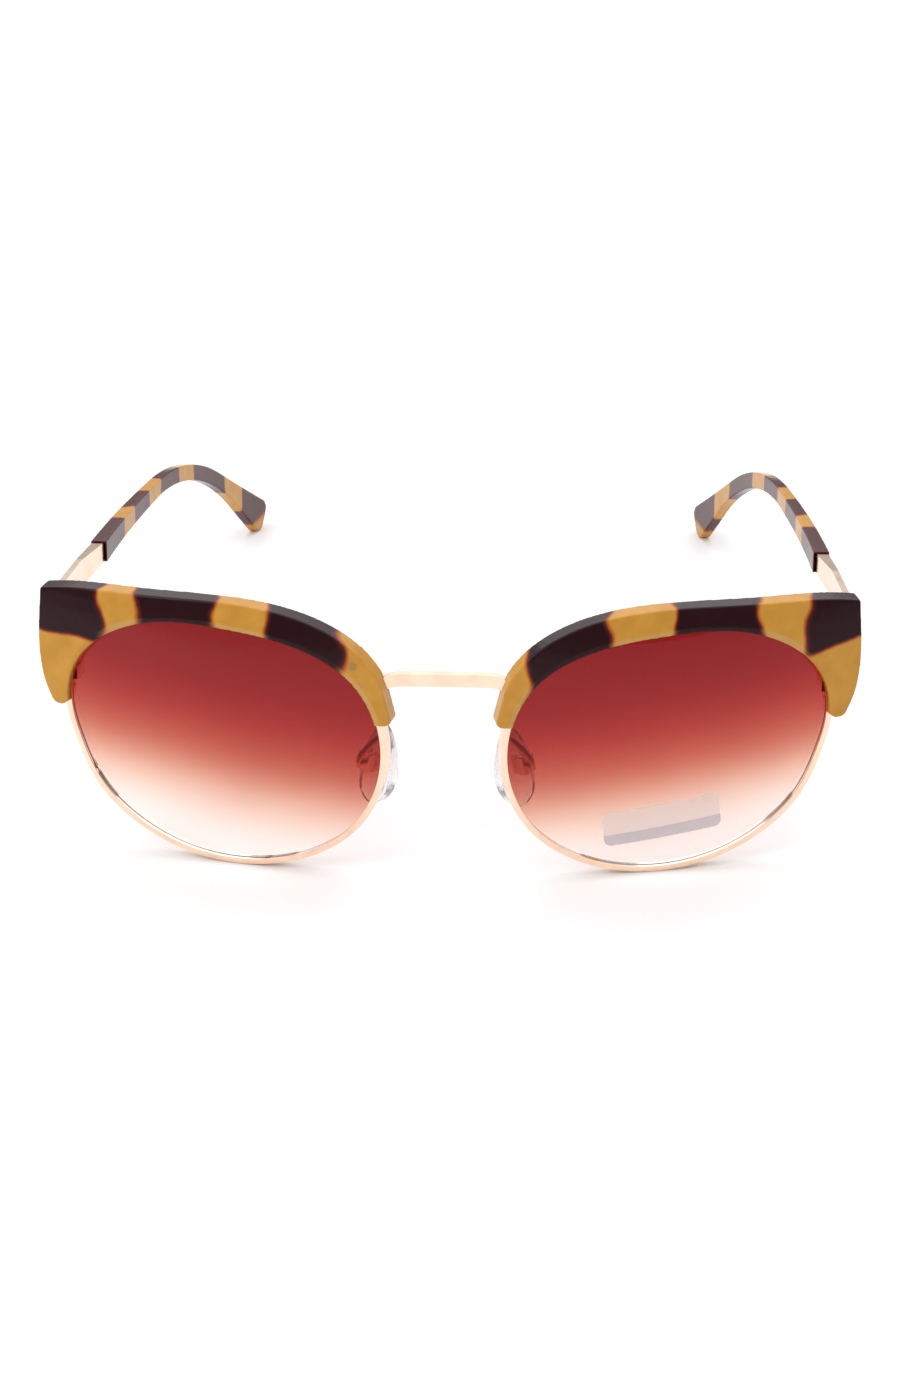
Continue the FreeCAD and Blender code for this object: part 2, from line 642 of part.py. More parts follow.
def hinge_leaf(name, sign, whole):
    """One hinge leaf on the inner face of its plate; sign is the side of the axis it lies on."""
    body = doc.addObject("PartDesign::Body", name)
    near = "%s(Sizes.knuckle_radius + 0.15)" % sign
    far = "%s(Sizes.knuckle_radius + 2.2)" % sign
    gap = "%sSizes.hinge_gap * 2" % sign
    leaf = sketch_polygon(body, name + "_leaf", "XY_Plane", [
        (LEAF_IN, near), (PLATE_FACE, near), (PLATE_FACE, far), (LEAF_IN, far)])
    pad_both_ways(body, name + "_leaf_pad", leaf, KNUCKLES)
    tall = KNUCKLES if whole else "Sizes.knuckle_tall"
    web = sketch_polygon(body, name + "_web", "XY_Plane", [
        ("0", gap), (PLATE_FACE, gap), (PLATE_FACE, near), (LEAF_IN, far), ("0", near)])
    pad_both_ways(body, name + "_web_pad", web, tall)
    barrel = sketch_circle(body, name + "_barrel", "XY_Plane", "Sizes.knuckle_radius")
    pad_both_ways(body, name + "_barrel_pad", barrel, tall)
    if whole:
        slot = sketch_polygon(body, name + "_gap", "XY_Plane", [
            ("-2 * Sizes.knuckle_radius", "-2.2 * Sizes.knuckle_radius"),
            ("%s + 1" % PLATE_FACE, "-2.2 * Sizes.knuckle_radius"),
            ("%s + 1" % PLATE_FACE, "2 * Sizes.knuckle_radius"),
            ("-2 * Sizes.knuckle_radius", "2 * Sizes.knuckle_radius")])
        pocket_both_ways(body, name + "_gap_cut", slot, "(Sizes.knuckle_tall + 2 * Sizes.knuckle_gap)")
    bore = sketch_circle(body, name + "_bore", "XY_Plane", BORE)
    pocket_both_ways(body, name + "_bore_cut", bore, "2 * " + KNUCKLES)
    return body


def pad_box_body(name):
    """The U-shaped sheet box that holds the pad's lug between two cheeks."""
    body = doc.addObject("PartDesign::Body", name)
    inside = "(Sizes.lug_half + Sizes.box_gap)"
    outside = "(Sizes.lug_half + Sizes.box_gap + Sizes.box_wall)"
    floor = "-(Sizes.lug_radius + 0.3)"
    back = "-(Sizes.lug_radius + 0.3 + Sizes.box_wall)"
    rim = "(Sizes.pad_seat - 0.45)"
    channel = sketch_polygon(body, name + "_channel", "XY_Plane", [
        ("-" + outside, back), (outside, back), (outside, rim), (inside, rim),
        (inside, floor), ("-" + inside, floor), ("-" + inside, rim), ("-" + outside, rim)])
    pad_both_ways(body, name + "_channel_pad", channel, "Sizes.box_tall")
    hole = sketch_circle(body, name + "_hole", "YZ_Plane", "(Sizes.pad_pin_radius + 0.02)")
    pocket_both_ways(body, name + "_hole_cut", hole, "4 * " + outside)
    return body


# ---------------------------------------------------------------- nose pad and its arm

def pad_shape():
    """A clear silicone teardrop with a crowned face and a lug that turns on the pad screw."""
    half_long, half_wide = size("pad_long") / 2, size("pad_wide") / 2
    seat = size("pad_seat")
    narrow = 0.62
    points = [Vector(half_wide, 0, -0.25 * half_long), Vector(0.8 * half_wide, 0, 0.4 * half_long),
              Vector(0, 0, half_long), Vector(-narrow * half_wide, 0, 0.45 * half_long),
              Vector(-half_wide, 0, -0.25 * half_long), Vector(-0.7 * half_wide, 0, -0.8 * half_long),
              Vector(0, 0, -half_long), Vector(0.75 * half_wide, 0, -0.78 * half_long)]
    face = Part.Face(Part.Wire([spline(points, closed=True).toShape()]))
    face.translate(Vector(0, seat, -size("pad_drop")))
    body = face.extrude(Vector(0, size("pad_thick") + 1, 0))
    crown = size("pad_crown")
    centre = Vector(0, seat + size("pad_thick") - crown, -size("pad_drop"))
    body = body.common(Part.makeSphere(crown, centre, AXIS_Z))
    lug = size("lug_half")
    round_end = Part.makeCylinder(size("lug_radius"), 2 * lug, Vector(-lug, 0, 0), AXIS_X)
    neck = Part.makeBox(2 * lug, seat + 0.2, 2 * size("lug_radius"), Vector(-lug, 0, -size("lug_radius")))
    bore = Part.makeCylinder(size("pad_pin_radius") + 0.07, 4 * lug, Vector(-2 * lug, 0, 0), AXIS_X)
    return body.fuse(round_end).fuse(neck).removeSplitter().cut(bore)


ARM_AHEAD = 0.6     # the arm starts this far ahead of the rim's back and is trimmed to it


def arm_shape():
    """The bent wire from the back of the rim to the back of the pad box, in the front frame."""
    radius = size("arm_radius")
    up = size("arm_up")
    aside = edge_reach(NOSE_SIDE_ANGLE) + size("rim_width") / 2
    rim_depth = size("base_radius") - math.sqrt((size("base_radius") - RIM_BACK) ** 2 - aside ** 2 - up ** 2)
    root = LENS.multVec(Vector(-aside, rim_depth - ARM_AHEAD, up))
    out = size("lug_radius") + 0.3 + size("box_wall")
    foot = PAD.multVec(Vector(0, -out, 0))
    drive = PAD.Rotation.multVec(AXIS_Y)
    curve = Part.BSplineCurve()
    middle = (root + foot) * 0.5 + Vector(0.4, 1.2, 1.0)
    curve.interpolate(Points=[root, middle, foot - drive * 0.6, foot],
                      InitialTangent=Vector(0, 1, 0.1), FinalTangent=drive)
    path = Part.Wire([curve.toShape()])
    disc = Part.Wire([Part.Circle(root, AXIS_Y, radius).toShape()])
    arm = path.makePipeShell([disc], True, False)
    box_side = Part.makeBox(REACH, REACH, REACH, Vector(-REACH / 2, -out, -REACH / 2))
    return arm.common(moved(ball(RIM_BACK), LENS)).cut(moved(box_side, PAD))


# ---------------------------------------------------------------- rim closing barrels

LOCK_REACH = edge_reach(math.degrees(math.atan2(size("slit_height"), size("lens_width") / 2)))
LOCK_OUT = math.sqrt(LOCK_REACH ** 2 - size("slit_height") ** 2) + 0.1
LOCK_SPAN = Vector(LOCK_OUT + size("lock_width"), 0, size("slit_height") + size("lock_height")).Length
LOCK_DEPTH = size("base_radius") - math.sqrt((size("base_radius") - RIM_BACK) ** 2 - LOCK_SPAN ** 2)
LOCK_AHEAD = 3.0    # the barrels start this far ahead and are trimmed to the back of the rim
LOCK_AXIS = Vector(LOCK_OUT + size("lock_width") / 2, LOCK_DEPTH + size("lock_depth") / 2,
                   size("slit_height"))


def lock_barrels(name):
    """Two small blocks behind the rim, one each side of its slit, bored for the closing screw."""
    behind = doc.addObject("Part::Sphere", name + "_behind_rim")
    behind.setExpression("Radius", "Sizes.base_radius - Sizes.rim_depth + Sizes.rim_proud")
    behind.Placement = Placement(Vector(0, size("base_radius"), 0), Rotation())
    barrels = []
    for part, low in (("upper", "Sizes.slit_height + Sizes.slit_width / 2"),
                      ("lower", "Sizes.slit_height - Sizes.slit_width / 2 - Sizes.lock_height")):
        block = doc.addObject("Part::Box", "%s_%s" % (name, part))
        block.setExpression("Length", "Sizes.lock_width")
        block.setExpression("Width", "Sizes.lock_depth + %s" % LOCK_AHEAD)
        block.setExpression("Height", "Sizes.lock_height")
        block.Placement = Placement(Vector(LOCK_OUT, LOCK_DEPTH - LOCK_AHEAD, 0), Rotation())
        block.setExpression("Placement.Base.z", low)
        trimmed = doc.addObject("Part::Common", "%s_%s_trimmed" % (name, part))
        trimmed.Base = block
        trimmed.Tool = behind
        bore = doc.addObject("Part::Cylinder", "%s_%s_bore" % (name, part))
        bore.setExpression("Radius", "Sizes.pin_radius + Sizes.pin_clear")
        bore.setExpression("Height", "Sizes.lock_height * 4")
        bore.Placement = Placement(LOCK_AXIS - Vector(0, 0, 2 * size("lock_height")), Rotation())
        barrel = doc.addObject("Part::Cut", "%s_%s_bored" % (name, part))
        barrel.Base = trimmed
        barrel.Tool = bore
        barrels.append(barrel)
    pair = doc.addObject("Part::Compound", name)
    pair.Links = barrels
    return pair


# ---------------------------------------------------------------- screws in their places

HEAD_GAP = 0.01     # a flat head over the hollow back of its lug


def lock_screw(name):
    screw = screw_body(name + "_body", "0.8", "0.55", "Sizes.pin_radius",
                       "2 * Sizes.lock_height + Sizes.slit_width - 0.4", "0.3")
    seat = LOCK_AXIS - Vector(0, 0, size("slit_width") / 2 + size("lock_height"))
    screw.Placement = Placement(seat, Rotation(AXIS_X, 180))
    return screw


def brow_screws(name):
    screws = []
    for number, angle in enumerate(BROW_SCREW_ANGLES, start=1):
        screw = screw_body("%s_%d" % (name, number), "0.85", "0.5", "Sizes.pin_radius",
                           "Sizes.brow_screw_long", "0.3")
        seat = Placement(Vector(0, 0, RIM_BACK + size("lug_thick") + HEAD_GAP), Rotation())
        screw.Placement = screw_frame(angle).multiply(seat)
        screws.append(screw)
    pair = doc.addObject("Part::Compound", name)
    pair.Links = screws
    return pair


def hinge_screw(name):
    screw = screw_body(name + "_body", "Sizes.knuckle_radius - 0.2", "0.45", "Sizes.pin_radius",
                       KNUCKLES, "0.3")
    half = (3 * size("knuckle_tall") + 2 * size("knuckle_gap")) / 2
    screw.Placement = Placement(Vector(0, 0, half), Rotation())
    return screw


def pad_screw(name):
    outside = size("lug_half") + size("box_gap") + size("box_wall")
    screw = screw_body(name + "_body", "0.65", "0.4", "Sizes.pad_pin_radius",
                       "2 * (Sizes.lug_half + Sizes.box_gap + Sizes.box_wall)", "0.25")
    screw.Placement = Placement(Vector(outside, 0, 0), Rotation(AXIS_Y, 90))
    return screw


# ---------------------------------------------------------------- assembly

def features(name, shapes):
    return feature(name, shapes[0] if len(shapes) == 1 else Part.makeCompound(shapes))


def left_half():
    """Every part of the left half as (node, object, local frame)."""
    return [
        ("lens", feature("lens_part", lens_shape()), LENS),
        ("rim", feature("rim_part", rim_shape()), LENS),
        ("rim_lock", lock_barrels("rim_lock_part"), LENS),
        ("rim_lock_screw", lock_screw("rim_lock_screw"), LENS),
        ("brow", feature("brow_part", brow_shape()), LENS),
        ("brow_lugs", features("brow_lugs_part", [lug_shape(a) for a in BROW_SCREW_ANGLES]), LENS),
        ("brow_screws", brow_screws("brow_screws_part"), LENS),
        ("end_piece", feature("end_piece_part", end_piece_shape()), FRONT),
        ("hinge_front", hinge_leaf("hinge_front_part", "-", True), HINGE),
        ("hinge_rear", hinge_leaf("hinge_rear_part", "", False), HINGE),
        ("hinge_screw", hinge_screw("hinge_screw"), HINGE),
        ("temple_bar", feature("temple_bar_part", bar_shape()), HINGE),
        ("temple_tip", feature("temple_tip_part", tip_shape()), HINGE),
        ("pad_arm", feature("pad_arm_part", arm_shape()), FRONT),
        ("pad_box", pad_box_body("pad_box_part"), PAD),
        ("nose_pad", feature("nose_pad_part", pad_shape()), PAD),
        ("pad_screw", pad_screw("pad_screw"), PAD),
    ]


def stand_angle(rim, tip):
    """The backward lean at which the rims and the temple tips touch the same level surface."""
    angle = 0.0
    for step in range(6):
        turned = Placement(Vector(), Rotation(AXIS_X, angle))
        low = []
        for shape in (rim, tip):
            placed = moved(shape, turned)
            box = placed.optimalBoundingBox(False)
            low.append((box.ZMin, box.YMax if shape is tip else box.Center.y))
        angle -= math.degrees(math.atan2(low[1][0] - low[0][0], low[1][1] - low[0][1]))
    return angle


parts = left_half()
doc.recompute()
own_place = {node: part.Placement.copy() for node, part, frame in parts}
in_front = {node: moved(part.Shape, frame) for node, part, frame in parts}
lean = Placement(Vector(), Rotation(AXIS_X, stand_angle(in_front["rim"], in_front["temple_tip"])))
box = moved(Part.makeCompound(list(in_front.values())), lean).optimalBoundingBox(False)
WORLD = Placement(Vector(0, -(box.YMin + box.YMax) / 2, -box.ZMin), Rotation()).multiply(lean)

nodes = []
for node, part, frame in parts:
    part.Placement = WORLD.multiply(frame).multiply(own_place[node])
    part.Label = node + "_left"
    mirror = doc.addObject("Part::Mirroring", node + "_mirror")
    mirror.Source = part
    mirror.Normal = AXIS_X
    mirror.Base = Vector()
    mirror.Label = node + "_right"
    nodes += [part, mirror]

bridge = feature("bridge_part", bridge_shape())
bridge.Placement = WORLD
bridge.Label = "bridge"
label = feature("lens_label_part", label_shape())
label.Placement = WORLD.multiply(LENS)
label.Label = "lens_label"
nodes += [bridge, label]
doc.recompute()

for item in doc.Objects:
    wrong = [flag for flag in item.State if flag in ("Invalid", "Error")]
    assert not wrong, "%s is %s" % (item.Label, wrong)
for part in nodes:
    assert not part.Shape.isNull(), part.Label + " is empty"
    assert part.Shape.isValid(), part.Label + " is not valid"
    assert part.Shape.Solids, part.Label + " has no solid"
for part in nodes:
    part.Shape.exportStep("parts/%s.step" % part.Label)

whole = Part.makeCompound([part.Shape for part in nodes]).optimalBoundingBox(False)
print("nodes", len(nodes), "size", round(whole.XLength, 1), round(whole.YLength, 1), round(whole.ZLength, 1))
hinge_world = WORLD.multiply(HINGE)
pad_world = WORLD.multiply(PAD)
print("lean", round(math.degrees(WORLD.Rotation.Angle), 3))
print("hinge", hinge_world.Base, hinge_world.Rotation.multVec(AXIS_Z))
print("pad", pad_world.Base, pad_world.Rotation.multVec(AXIS_X))
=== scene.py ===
import bpy
import json
import math
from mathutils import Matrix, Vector


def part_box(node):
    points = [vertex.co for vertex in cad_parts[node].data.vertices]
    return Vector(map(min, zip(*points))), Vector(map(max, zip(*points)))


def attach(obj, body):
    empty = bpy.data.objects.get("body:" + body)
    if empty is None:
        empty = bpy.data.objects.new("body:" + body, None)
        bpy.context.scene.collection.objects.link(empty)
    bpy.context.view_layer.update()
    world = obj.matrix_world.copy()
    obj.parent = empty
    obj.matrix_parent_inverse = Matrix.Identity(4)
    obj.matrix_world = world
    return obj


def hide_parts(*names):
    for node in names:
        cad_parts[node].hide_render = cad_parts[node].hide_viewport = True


# Browline cat-eye sunglasses: looks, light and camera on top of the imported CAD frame.

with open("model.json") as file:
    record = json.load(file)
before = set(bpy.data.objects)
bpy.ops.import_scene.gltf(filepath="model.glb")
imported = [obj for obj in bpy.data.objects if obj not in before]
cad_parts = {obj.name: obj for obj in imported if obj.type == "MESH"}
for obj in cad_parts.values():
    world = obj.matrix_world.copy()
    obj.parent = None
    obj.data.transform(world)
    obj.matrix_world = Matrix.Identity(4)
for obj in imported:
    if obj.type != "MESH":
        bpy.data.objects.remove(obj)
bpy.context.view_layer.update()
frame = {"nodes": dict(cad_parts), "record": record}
NODES = frame["nodes"]
MM = 0.001
SIDES = ("left", "right")


def centre_of(node):
    low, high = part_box(node)
    return (Vector(low) + Vector(high)) / 2


# ---------------------------------------------------------------- node helpers

def fill_band(band, stops):
    """Put colours on a colour ramp, at positions from 0 to 1."""
    while len(band.elements) > 1:
        band.elements.remove(band.elements[-1])
    for index, (position, colour) in enumerate(stops):
        element = band.elements[0] if index == 0 else band.elements.new(position)
        element.position = position
        element.color = (*colour, 1)


class Build:
    """A material's node tree, with short calls to add and link nodes. Places are in mm."""

    def __init__(self, name):
        self.material = bpy.data.materials.new(name)
        self.material.use_nodes = True
        self.tree = self.material.node_tree
        self.tree.nodes.clear()
        self.out = self.tree.nodes.new("ShaderNodeOutputMaterial")
        place = self.tree.nodes.new("ShaderNodeTexCoord")
        scale = self.tree.nodes.new("ShaderNodeVectorMath")
        scale.operation = "SCALE"
        scale.inputs["Scale"].default_value = 1 / MM
        self.tree.links.new(place.outputs["Object"], scale.inputs[0])
        self.mm = scale.outputs[0]
        split = self.tree.nodes.new("ShaderNodeSeparateXYZ")
        self.link(self.mm, split.inputs[0])
        self.x, self.y, self.z = split.outputs

    def link(self, source, target):
        self.tree.links.new(source, target)

    def put(self, value, target):
        if hasattr(value, "is_linked"):
            self.link(value, target)
        else:
            target.default_value = value

    def math(self, operation, first, second=0.0, clamp=False):
        node = self.tree.nodes.new("ShaderNodeMath")
        node.operation = operation
        node.use_clamp = clamp
        self.put(first, node.inputs[0])
        self.put(second, node.inputs[1])
        return node.outputs[0]

    def aside(self, middle):
        """Distance outwards from a place on either side of the nose."""
        return self.math("SUBTRACT", self.math("ABSOLUTE", self.x), middle)

    def length(self, across, up):
        squares = self.math("ADD", self.math("MULTIPLY", across, across),
                            self.math("MULTIPLY", up, up))
        return self.math("POWER", squares, 0.5)

    def noise(self, scale, detail=3.0):
        """Noise from 0 to 1, with its scale per mm."""
        node = self.tree.nodes.new("ShaderNodeTexNoise")
        node.inputs["Scale"].default_value = scale
        node.inputs["Detail"].default_value = detail
        self.link(self.mm, node.inputs["Vector"])
        return node.outputs["Fac"]

    def waver(self, scale, detail, width):
        """Noise on both sides of 0, in a band of the given width."""
        return self.math("MULTIPLY", self.math("SUBTRACT", self.noise(scale, detail), 0.5), width)

    def ramp(self, value, stops, first=0.0, last=1.0, blend="LINEAR"):
        """Colours or greys at places between first and last."""
        node = self.tree.nodes.new("ShaderNodeValToRGB")
        node.color_ramp.interpolation = blend
        grey = isinstance(stops[0][1], (int, float))
        fill_band(node.color_ramp, [((place - first) / (last - first), (tone,) * 3 if grey else tone)
                                    for place, tone in stops])
        span = self.math("DIVIDE", self.math("SUBTRACT", value, first), last - first)
        self.link(span, node.inputs[0])
        return node.outputs[0]

    def mix(self, amount, first, second, blend="MIX"):
        node = self.tree.nodes.new("ShaderNodeMix")
        node.data_type = "RGBA"
        node.blend_type = blend
        self.put(amount, node.inputs[0])
        self.put(first, node.inputs[6])
        self.put(second, node.inputs[7])
        return node.outputs[2]

    def bump(self, height, distance, under=None):
        """A bump of the given height in metres, on top of another normal if there is one."""
        node = self.tree.nodes.new("ShaderNodeBump")
        node.inputs["Strength"].default_value = 1.0
        node.inputs["Distance"].default_value = distance
        self.link(height, node.inputs["Height"])
        if under is not None:
            self.link(under, node.inputs["Normal"])
        return node.outputs[0]

    def shader(self, kind, **values):
        node = self.tree.nodes.new(kind)
        for name, value in values.items():
            self.put(value, node.inputs[name.replace("_", " ")])
        return node

    def mix_shader(self, amount, first, second):
        node = self.tree.nodes.new("ShaderNodeMixShader")
        self.put(amount, node.inputs[0])
        self.link(first, node.inputs[1])
        self.link(second, node.inputs[2])
        return node.outputs[0]

    def done(self, shader):
        self.link(shader, self.out.inputs["Surface"])
        return self.material


FAINT_BUMP = 0.00001        # metres

# A finish is the least roughness, how much noise adds to it, and that noise's scale per mm.
ACETATE_FINISH = (0.14, 0.10, 0.6)
GOLD_FINISH = (0.12, 0.10, 0.9)
STEEL_FINISH = (0.22, 0.16, 2.5)
FLOOR_FINISH = (0.55, 0.15, 0.02)


def solid(name, colour_of, finish, relief_of=None, **constants):
    """An opaque material: mottled colour, uneven roughness, a faint bump and any relief."""
    rough, rough_spread, grain = finish
    build = Build(name)
    uneven = build.noise(grain)
    normal = build.bump(build.noise(grain * 2), FAINT_BUMP)
    if relief_of:
        normal = relief_of(build, normal)
    roughness = build.math("ADD", build.math("MULTIPLY", uneven, rough_spread), rough)
    bsdf = build.shader("ShaderNodeBsdfPrincipled", Base_Color=colour_of(build),
                        Roughness=roughness, Normal=normal, **constants)
    return build.done(bsdf.outputs[0])


def toned(dark, light, scale, detail=3.0):
    """A colour that drifts between two tones."""
    def colour(build):
        return build.ramp(build.noise(scale, detail), [(0.3, dark), (0.7, light)])
    return colour


# ---------------------------------------------------------------- lens outline

# The left lens in the row frame: its centre, how far the front leans, how far the lens is
# wrapped, and how far its edge is from the centre at each angle in degrees, from outwards over
# the top to inwards. Lengths are in mm.
LENS_CENTRE = (36.3, -72.8, 21.6)
LEAN = math.radians(2.49)
WRAP = math.radians(12.0)
LENS_EDGE = [(0, 25.6), (30, 27.0), (60, 23.0), (90, 20.3), (120, 21.5), (150, 25.1),
             (180, 26.1)]
EDGE_SCALE = 40.0           # the edge lengths are divided by this to fit on a colour ramp


def beyond_lens(build):
    """Distance in mm outside the edge of the lens, measured in the lens plane."""
    def turned(along, aside, angle):
        return build.math("ADD", build.math("MULTIPLY", along, math.cos(angle)),
                          build.math("MULTIPLY", aside, math.sin(angle)))

    back = build.math("SUBTRACT", build.y, LENS_CENTRE[1])
    high = build.math("SUBTRACT", build.z, LENS_CENTRE[2])
    up = turned(high, back, LEAN)
    out = turned(build.aside(LENS_CENTRE[0]), turned(back, high, -LEAN), WRAP)
    stops = [(math.radians(degrees), reach / EDGE_SCALE) for degrees, reach in LENS_EDGE]
    edge = build.ramp(build.math("ARCTAN2", up, out), stops, 0.0, math.pi, "CARDINAL")
    return build.math("SUBTRACT", build.length(up, out), build.math("MULTIPLY", edge, EDGE_SCALE))


# ---------------------------------------------------------------- tortoise acetate

AMBER = (0.54, 0.268, 0.042)
ORANGE = (0.46, 0.13, 0.016)
RED_BROWN = (0.11, 0.012, 0.008)
BLACK_BROWN = (0.018, 0.002, 0.004)
DARK_RED = (0.065, 0.008, 0.009)
CLOUD = toned((0.90, 0.86, 0.76), (1.06, 1.06, 1.10), 0.28)
MOTTLE = (0.5, 3.0, 0.22)   # scale, detail and width of the mottling
BORDER = (0.12, 1.0, 5.0)   # scale, detail and width in mm of the patches' wavering borders
EDGE = 0.75                 # mm on each side of a border over which dark turns to amber

# Dark stretches along each acetate part, in mm: along X on the brows, back from the hinge on
# the temples. Each part's span takes in all of it.
BROW_DARK = [(-70, -55.2), (-49.5, -36.0), (-28.0, -16.4), (13, 26.5), (36, 50.5), (58, 70)]
BROW_SPAN = (-70, 70)
TIP_DARK = [(20, 47), (55, 66), (74, 86), (94.5, 111), (121, 160)]
TIP_SPAN = (20, 150)

# Below this height the brows' outer ends are amber, with a border that wavers. They start
# between these two distances from the middle.
LOBE_TOP = LENS_CENTRE[2] + 15.5
LOBE_BORDER = (0.11, 0.0, 5.0)
LOBE_SIDE = (51.5, 53.5)

# The fixing screw shows faintly through the amber: where it is across and up, and how strong
# it is at distances from there.
SCREW_SPOT = (14.4, 37.3)
SCREW_FADE = [(0.5, 0.45), (0.95, 0.0)]
SCREW_SHADE = (0.16, 0.13, 0.09, 1)

# The bevel along the brow's lens edge: its width and the turn at its end in mm, and its height
# in metres. A paler strip of painted light follows it in the amber, as if the bevel's face caught
# more light.
BEVEL_WIDE = 0.95
BEVEL_TURN = 0.08
BEVEL_HIGH = 0.00038
BEVEL_SPAN = (-2.0, 6.0)
BEVEL_PAINTED_LIGHT_FADE = [(BEVEL_WIDE - 0.15, 0.4), (BEVEL_WIDE + 0.1, 0.0)]
BEVEL_PAINTED_LIGHT = (0.60, 0.42, 0.16, 1)

PADDLE_FOOT = [(1.5, 0.0), (4.0, 1.0)]      # the paddles' lowest mm are amber
HEIGHT_SPAN = (0.0, 60.0)

RUN_PER_Y = 1.03            # length along the temple for each mm straight back
JOINTS = {joint["name"]: joint for joint in frame["record"]["behaviour"]["joints"]}
HINGE_Y = JOINTS["temple_left_fold"]["pos_m"][1] / MM


def patches(build, along, dark, first, last):
    """1 where the acetate is dark and 0 where it is amber, with wavering borders."""
    place = build.math("ADD", along, build.waver(*BORDER))
    stops = [(first, 0.0 if dark[0][0] > first else 1.0)]
    for start, end in dark:
        if start > first:
            stops += [(start - EDGE, 0.0), (start + EDGE, 1.0)]
        if end < last:
            stops += [(end - EDGE, 1.0), (end + EDGE, 0.0)]
    return build.ramp(place, stops, first, last)


def tortoise(build, darkness, darkest):
    """Honey amber, with orange and red-brown borders round near-black patches."""
    value = build.math("ADD", darkness, build.waver(*MOTTLE), clamp=True)
    colour = build.ramp(value, [(0.0, AMBER), (0.22, AMBER), (0.42, ORANGE), (0.68, RED_BROWN),
                                (0.95, darkest)])
    return build.mix(1.0, colour, CLOUD(build), "MULTIPLY")


def brow_bevel(build, normal):
    rise = build.ramp(beyond_lens(build),
                      [(0.0, 0.0), (BEVEL_WIDE, 1.0), (BEVEL_WIDE + BEVEL_TURN, 1.0)], *BEVEL_SPAN)
    return build.bump(rise, BEVEL_HIGH, normal)


def brow_colour(build):
    dark = patches(build, build.x, BROW_DARK, *BROW_SPAN)
    amber = build.math("SUBTRACT", 1.0, dark)
    height = build.ramp(build.math("ADD", build.z, build.waver(*LOBE_BORDER)),
                        [(LOBE_TOP - EDGE, 0.0), (LOBE_TOP + EDGE, 1.0)], *HEIGHT_SPAN)
    outer = build.ramp(build.math("ABSOLUTE", build.x),
                       [(LOBE_SIDE[0], 0.0), (LOBE_SIDE[1], 1.0)], 0.0, 80.0)
    kept = build.math("MAXIMUM", height, build.math("SUBTRACT", 1.0, outer))
    acetate = tortoise(build, build.math("MULTIPLY", dark, kept), BLACK_BROWN)

    above = build.math("SUBTRACT", build.z, SCREW_SPOT[1])
    screw = build.ramp(build.length(build.aside(SCREW_SPOT[0]), above), SCREW_FADE, 0.0, 5.0)
    acetate = build.mix(build.math("MULTIPLY", screw, amber), acetate, SCREW_SHADE)

    # Painted light: the amber is made paler along the bevel, as if its face caught more light.
    painted_bevel_light = build.ramp(beyond_lens(build), BEVEL_PAINTED_LIGHT_FADE, *BEVEL_SPAN)
    return build.mix(build.math("MULTIPLY", painted_bevel_light, amber), acetate, BEVEL_PAINTED_LIGHT)


def tip_colour(build):
    run = build.math("MULTIPLY", build.math("SUBTRACT", build.y, HINGE_Y), RUN_PER_Y)
    foot = build.ramp(build.z, PADDLE_FOOT, *HEIGHT_SPAN)
    dark = patches(build, run, TIP_DARK, *TIP_SPAN)
    return tortoise(build, build.math("MULTIPLY", dark, foot), DARK_RED)


ACETATE = dict(Specular_IOR_Level=0.12, Coat_Weight=0.12, Coat_Roughness=0.05,
               Subsurface_Weight=0.12, Subsurface_Scale=0.0012)
brow_acetate = solid("tortoise_brow", brow_colour, ACETATE_FINISH, brow_bevel, **ACETATE)
tip_acetate = solid("tortoise_temple", tip_colour, ACETATE_FINISH, **ACETATE)


# ---------------------------------------------------------------- metals

rose_gold = solid("rose_gold_plate", toned((0.90, 0.64, 0.47), (0.96, 0.74, 0.57), 0.35),
                  GOLD_FINISH, Metallic=1.0)
screw_steel = solid("screw_steel", toned((0.55, 0.52, 0.50), (0.72, 0.69, 0.66), 1.5),
                    STEEL_FINISH, Metallic=1.0)


# ---------------------------------------------------------------- lens, silicone, label

LENS_IOR = 1.3
LENS_MIDDLE = centre_of("lens_left").z / MM
LENS_ACROSS = centre_of("lens_left").x / MM
TINT_SLOPE = 0.13           # the tint reaches lower near the nose: mm of height per mm across
TINT_WAVER = (0.06, 2.0, 1.5)
# Colour of light that has crossed the lens, by height above the lens middle in mm.
LENS_TINT = [(-21, (1.0, 0.985, 0.965)), (-17, (1.0, 0.97, 0.94)), (-13, (0.99, 0.86, 0.78)),
             (-8, (0.86, 0.50, 0.37)), (-3.3, (0.60, 0.16, 0.105)), (1.5, (0.46, 0.057, 0.042)),
             (6, (0.35, 0.024, 0.021)), (11, (0.265, 0.012, 0.013)), (21, (0.21, 0.006, 0.007))]
TINT_SPAN = (-22, 22)

SILICONE_IOR = 1.41
SILICONE_BUMP = 0.00003     # metres
SILICONE_CLOUD = toned((0.86, 0.84, 0.85), (0.95, 0.93, 0.94), 0.8)

LABEL_TILT = math.radians(8.0)
LABEL_GRAIN = (2.0, 3.0, 0.12)
LABEL_BAND = [(-1.05, (0.42, 0.40, 0.46)), (-0.95, (0.80, 0.70, 0.66))]
LABEL_SPAN = (-5, 5)
LABEL_COVER = 0.4           # how much of what is behind it the film hides


def see_through(build, skin, tint):
    """The skin as it is seen, with shadows and bounced light passing straight through it."""
    clear = build.shader("ShaderNodeBsdfTransparent", Color=tint)
    path = build.tree.nodes.new("ShaderNodeLightPath")
    soft = build.math("MAXIMUM", path.outputs["Is Shadow Ray"], path.outputs["Is Diffuse Ray"])
    return build.done(build.mix_shader(soft, skin.outputs[0], clear.outputs[0]))


